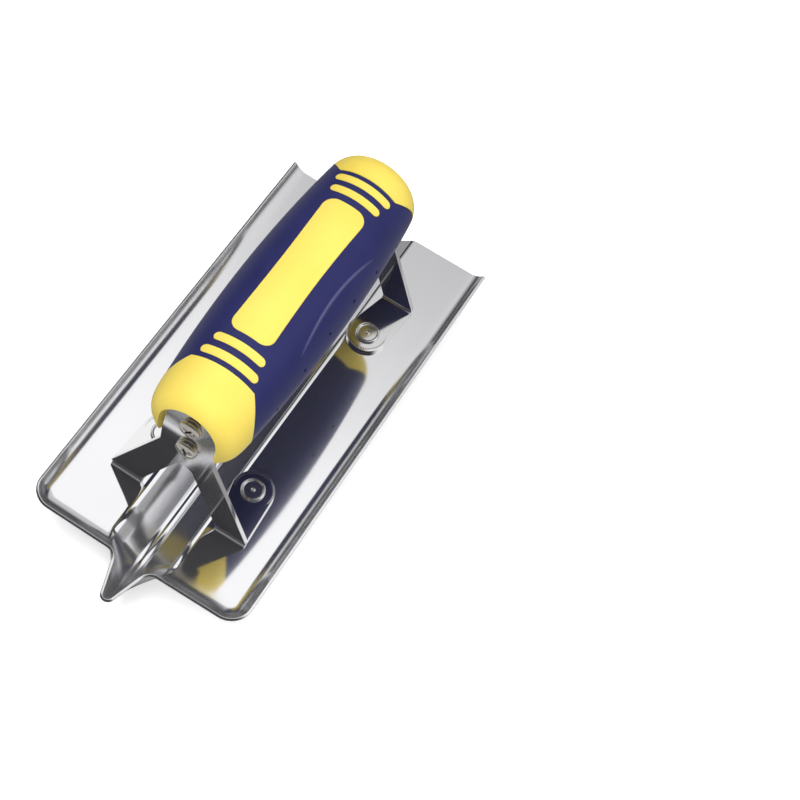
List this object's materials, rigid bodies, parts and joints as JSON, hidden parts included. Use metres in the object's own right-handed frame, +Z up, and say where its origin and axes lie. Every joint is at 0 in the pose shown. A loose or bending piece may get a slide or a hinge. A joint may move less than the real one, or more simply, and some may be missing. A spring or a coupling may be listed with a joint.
{
  "type": "inside corner trowel",
  "caption": "Hand trowel with a keeled sheet-steel blade, curled edges and a pointed prow, two riveted bracket stands and a two-part soft grip handle.",
  "frame": {"origin": "middle of the bounding box in X and Y, at the height of the keel's underside", "axes": "+X towards the right wing, +Y towards the heel edge so the prow points to -Y, +Z up through the handle"},
  "size_m": [0.076, 0.1665, 0.0785],
  "materials": {
    "blade_steel": "mirror-polished stainless sheet",
    "bracket_steel": "mirror-polished stainless sheet",
    "rivet_steel": "satin steel",
    "yellow_plastic": "matte moulded plastic",
    "navy_rubber": "soft moulded rubber, faint sheen",
    "screw_nickel": "bright nickel plate"
  },
  "bodies": {
    "root": {"blade": "blade_steel", "front_bracket": "bracket_steel", "rear_bracket": "bracket_steel", "rivet_front_left": "rivet_steel", "rivet_front_right": "rivet_steel", "rivet_rear_left": "rivet_steel", "rivet_rear_right": "rivet_steel", "handle_core": "yellow_plastic", "grip_sleeve": "navy_rubber", "screw_front_upper": "screw_nickel", "screw_front_lower": "screw_nickel", "screw_rear_upper": "screw_nickel", "screw_rear_lower": "screw_nickel"}
  },
  "joints": []
}
